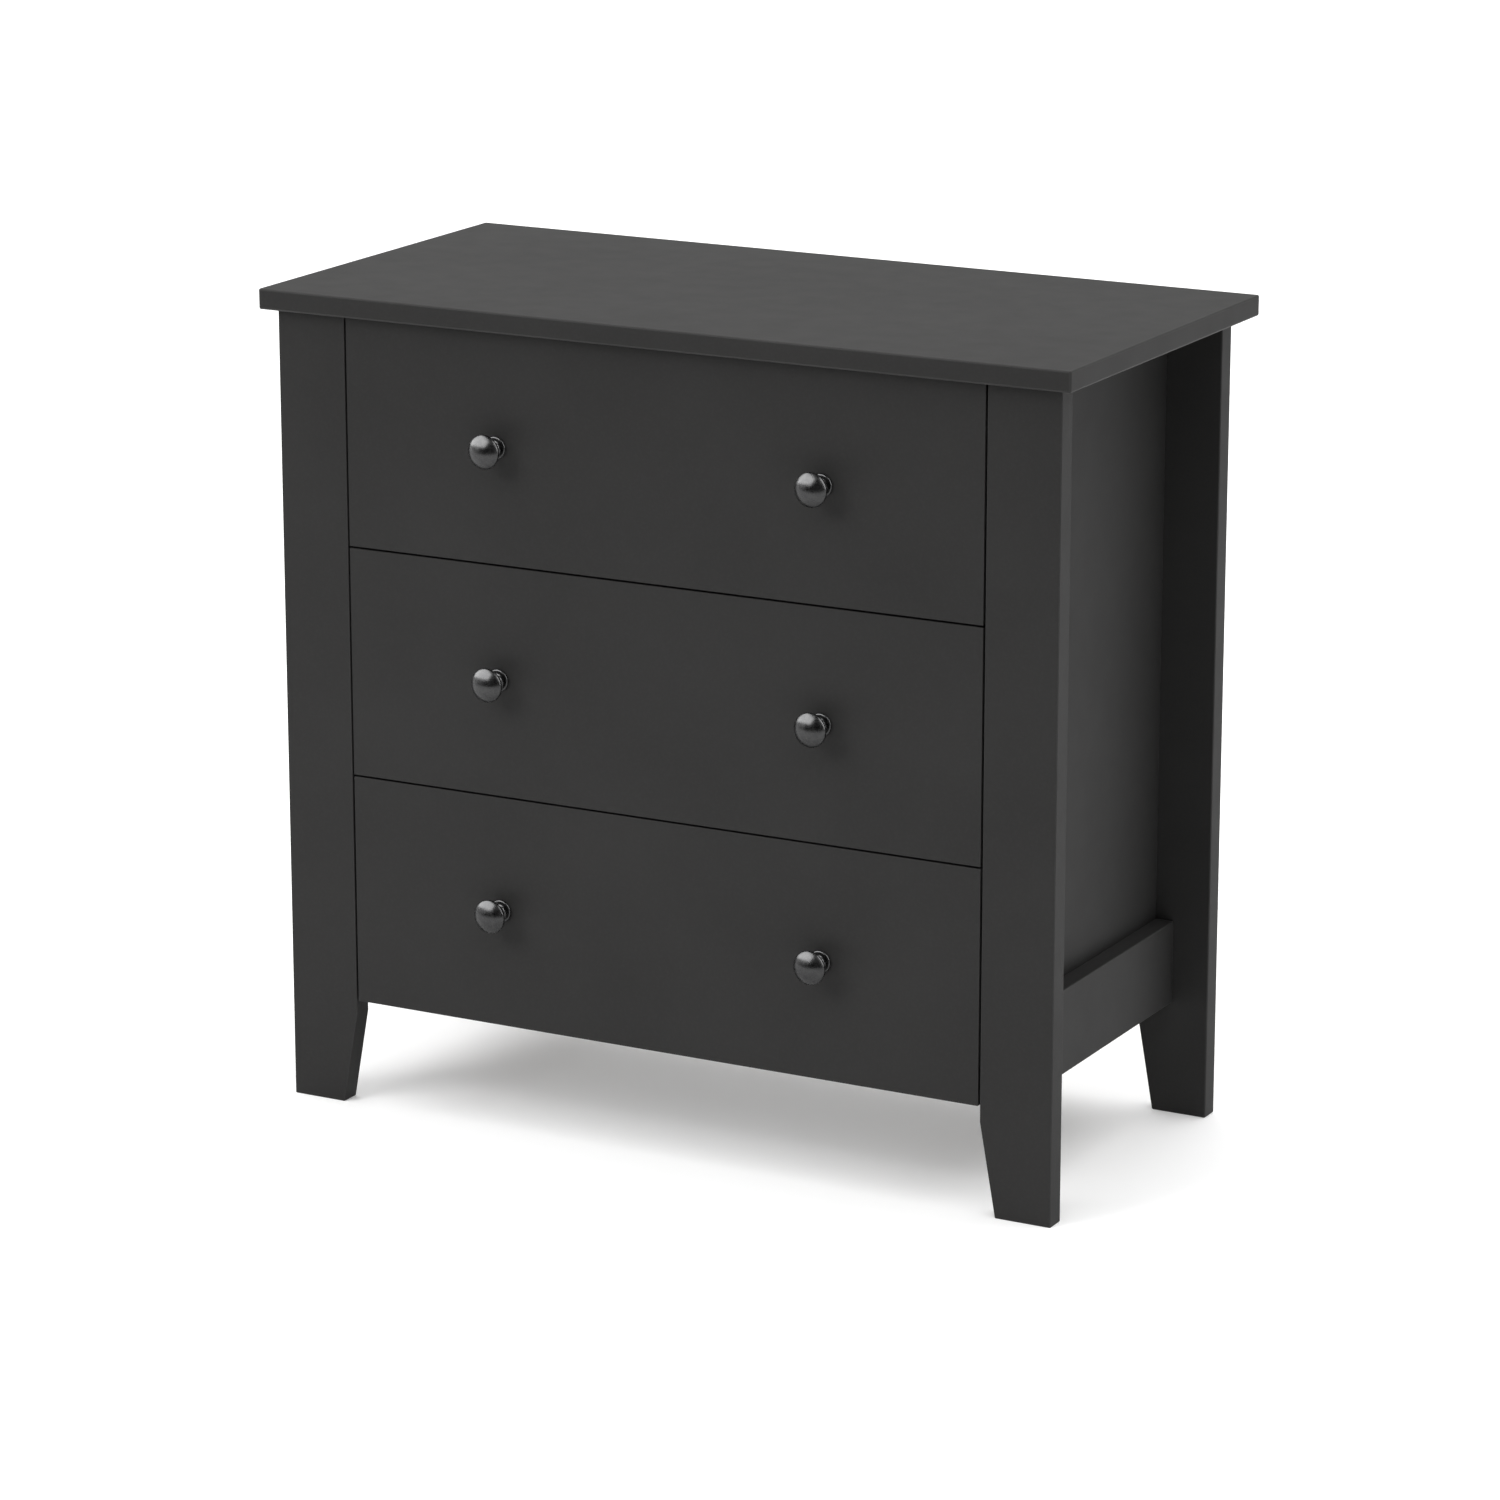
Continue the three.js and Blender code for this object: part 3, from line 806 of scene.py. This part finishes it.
def make_cage(drawer, side, row):
    """Two rows of balls in a channel of thin sheet, which rides with the middle members."""
    cage = CAGES[row]
    sign = SIDES[side]
    low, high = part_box(f"{drawer}_slide_cabinet_{side}")
    panel_face = high.x if sign > 0 else low.x
    middle_line = (low.z + high.z) / 2
    start = low.y + cage["start"]
    above = cage["ball_height"] + CAGE_SHEET / 2
    below = cage["ball_height"] - CAGE_SHEET / 2
    section = [
        (cage["web"], -above),
        (cage["web"], above),
        (cage["tip"], above),
        (cage["tip"], below),
        (cage["web_back"], below),
        (cage["web_back"], -below),
        (cage["tip"], -below),
        (cage["tip"], -above),
    ]
    outline = [(panel_face - sign * offset, middle_line + z) for offset, z in section]
    if sign < 0:
        outline.reverse()
    channel = extruded(outline, start, start + CAGE_LENGTH)
    balls = []
    for along in step_middles(BALLS_IN_ROW, start, CAGE_LENGTH):
        for height in (-cage["ball_height"], cage["ball_height"]):
            centre = (panel_face - sign * cage["ball_offset"], along, middle_line + height)
            balls.append(ball(centre, cage["ball_radius"]))
    body = f"{drawer}_slide_middles"
    name = f"{drawer}_slide_{row}"
    piece(f"{name}_cage_{side}", *channel, CAGE_STEEL, body, "slide_steel")
    piece(f"{name}_balls_{side}", *joined(balls), BALL_STEEL, body, "slide_steel")


for drawer in DRAWERS:
    for side in SIDES:
        for row in CAGES:
            make_cage(drawer, side, row)

# ------------------------------------------------------------------ camera

CAMERA_AZIMUTH = math.radians(28.23)
CAMERA_ELEVATION = math.radians(15.19)
CAMERA_DISTANCE = 5.040
CAMERA_TARGET = Vector((-0.0035, 0.001, 0.3364))
# In millimetres of the sensor, as Blender takes them.
CAMERA_LENS = 133.05
SENSOR_WIDTH = 36.0


def direction(azimuth, elevation):
    """The way to something at an azimuth to the right of the front, and at an elevation."""
    flat = math.cos(elevation)
    return Vector((math.sin(azimuth) * flat, -math.cos(azimuth) * flat, math.sin(elevation)))


def looking(way):
    """The rotation of a camera or a light that faces a way, with its top up."""
    return way.to_track_quat("-Z", "Y")


def make_camera():
    """The scene's camera, which faces its target from the right of the front and a little above."""
    data = bpy.data.cameras.new("camera")
    data.sensor_width = SENSOR_WIDTH
    data.lens = CAMERA_LENS
    camera = bpy.data.objects.new("camera", data)
    bpy.context.scene.collection.objects.link(camera)
    back = direction(CAMERA_AZIMUTH, CAMERA_ELEVATION)
    camera.location = CAMERA_TARGET + back * CAMERA_DISTANCE
    camera.rotation_mode = "QUATERNION"
    camera.rotation_quaternion = looking(-back)
    bpy.context.scene.camera = camera


make_camera()

# ------------------------------------------------------------------ floor and world

FLOOR_HALF = 30.0
FLOOR_FRONT = -2.6
# The backdrop's light fades in between these two values of a direction's Y.
BACKDROP_START = -0.3
BACKDROP_FULL = 0.4
BACKDROP_STRENGTH = 0.6
ROOM_STRENGTH = 0.02


def make_floor():
    """A wide white floor that ends a little in front of the chest, where the studio is darker."""
    corners = [
        (-FLOOR_HALF, FLOOR_FRONT, 0),
        (FLOOR_HALF, FLOOR_FRONT, 0),
        (FLOOR_HALF, FLOOR_HALF, 0),
        (-FLOOR_HALF, FLOOR_HALF, 0),
    ]
    mesh = bpy.data.meshes.new("floor")
    mesh.from_pydata(corners, [], [(0, 1, 2, 3)])
    mesh.materials.append(studio_floor())
    floor = bpy.data.objects.new("floor", mesh)
    bpy.context.scene.collection.objects.link(floor)


def make_world():
    """White to the camera. As a light, it is a pale backdrop behind and a dim room in front."""
    world = bpy.data.worlds.new("studio")
    world.use_nodes = True
    nodes = world.node_tree.nodes
    links = world.node_tree.links
    nodes.clear()
    seen = nodes.new("ShaderNodeBackground")
    seen.inputs["Color"].default_value = grey(1.0)
    room = nodes.new("ShaderNodeBackground")
    room.inputs["Color"].default_value = grey(1.0)
    coords = nodes.new("ShaderNodeTexCoord")
    axes = nodes.new("ShaderNodeSeparateXYZ")
    backward = nodes.new("ShaderNodeMapRange")
    backward.interpolation_type = "SMOOTHSTEP"
    backward.inputs["From Min"].default_value = BACKDROP_START
    backward.inputs["From Max"].default_value = BACKDROP_FULL
    backward.inputs["To Min"].default_value = ROOM_STRENGTH
    backward.inputs["To Max"].default_value = BACKDROP_STRENGTH
    path = nodes.new("ShaderNodeLightPath")
    mix = nodes.new("ShaderNodeMixShader")
    out = nodes.new("ShaderNodeOutputWorld")
    links.new(coords.outputs["Generated"], axes.inputs["Vector"])
    links.new(axes.outputs["Y"], backward.inputs["Value"])
    links.new(backward.outputs["Result"], room.inputs["Strength"])
    links.new(path.outputs["Is Camera Ray"], mix.inputs["Fac"])
    links.new(room.outputs[0], mix.inputs[1])
    links.new(seen.outputs[0], mix.inputs[2])
    links.new(mix.outputs[0], out.inputs["Surface"])
    bpy.context.scene.world = world


make_floor()
make_world()

# ------------------------------------------------------------------ lights

# Powers are in watts, and the strength of the overhead light in watts per square metre.
KEY_PLACE = Vector((-1.84, -3.1, 2.54))
KEY_WIDTH = 2.0
KEY_HEIGHT = 1.6
KEY_POWER = 68
KEY_AIM = Vector((0, 0, 0.4))
OVERHEAD_PLACE = Vector((0, 0, 4))
OVERHEAD_STRENGTH = 3.59
OVERHEAD_SPREAD = math.radians(100)
KNOB_MIDDLE = Vector((0, -0.2, 0.42))
KNOB_PANEL_DISTANCE = 3.0
# The soft panels that only the polished knobs reflect: angles in degrees, from the front, from the
# floor and about the panel's own axis, sizes in metres, and radiance.
KNOB_PANELS = {
    "knob_front_panel": {
        "azimuth": -57, "elevation": 41, "roll": 15, "width": 6.0, "height": 2.5, "radiance": 8.4,
    },
    "knob_low_panel": {
        "azimuth": -72, "elevation": 12, "roll": 6, "width": 5.0, "height": 1.6, "radiance": 1.0,
    },
    "knob_side_panel": {
        "azimuth": 96, "elevation": 34, "roll": 0, "width": 3.2, "height": 3.4, "radiance": 8.0,
    },
}


def knob_collection(name, state):
    """The knobs, as the set of objects that a light is limited to or keeps off."""
    collection = bpy.data.collections.new(name)
    for knob in KNOBS:
        collection.objects.link(knob)
    for entry in collection.collection_objects:
        entry.light_linking.link_state = state
    return collection


def make_softbox(name, place, width, height, power, aim, roll=0):
    """A soft rectangular light that faces a point, rolled about its own axis by degrees."""
    data = bpy.data.lights.new(name, "AREA")
    data.shape = "RECTANGLE"
    data.size = width
    data.size_y = height
    data.energy = power
    light = bpy.data.objects.new(name, data)
    light.location = place
    light.rotation_mode = "QUATERNION"
    light.rotation_quaternion = looking(aim - place) @ Quaternion((0, 0, 1), math.radians(roll))
    bpy.context.scene.collection.objects.link(light)
    return light


def make_overhead_light():
    """A very large soft light straight above, which lights the floor evenly."""
    data = bpy.data.lights.new("overhead", "SUN")
    data.energy = OVERHEAD_STRENGTH
    data.angle = OVERHEAD_SPREAD
    light = bpy.data.objects.new("overhead", data)
    light.location = OVERHEAD_PLACE
    bpy.context.scene.collection.objects.link(light)
    return light


def make_knob_panel(name, azimuth, elevation, roll, width, height, radiance):
    """A softbox at a fixed distance from the knobs, which they mirror and nothing else takes."""
    way = direction(math.radians(azimuth), math.radians(elevation))
    place = KNOB_MIDDLE + way * KNOB_PANEL_DISTANCE
    power = radiance * math.pi * width * height
    panel = make_softbox(name, place, width, height, power, KNOB_MIDDLE, roll)
    panel.visible_diffuse = False
    panel.light_linking.receiver_collection = POLISHED


POLISHED = knob_collection("polished_knobs", "INCLUDE")
ALL_BUT_KNOBS = knob_collection("all_but_knobs", "EXCLUDE")

key = make_softbox("key_softbox", KEY_PLACE, KEY_WIDTH, KEY_HEIGHT, KEY_POWER, KEY_AIM)
overhead = make_overhead_light()
for light in (key, overhead):
    light.light_linking.receiver_collection = ALL_BUT_KNOBS
for name, panel in KNOB_PANELS.items():
    make_knob_panel(name, **panel)
bpy.context.scene.view_settings.view_transform = "Standard"
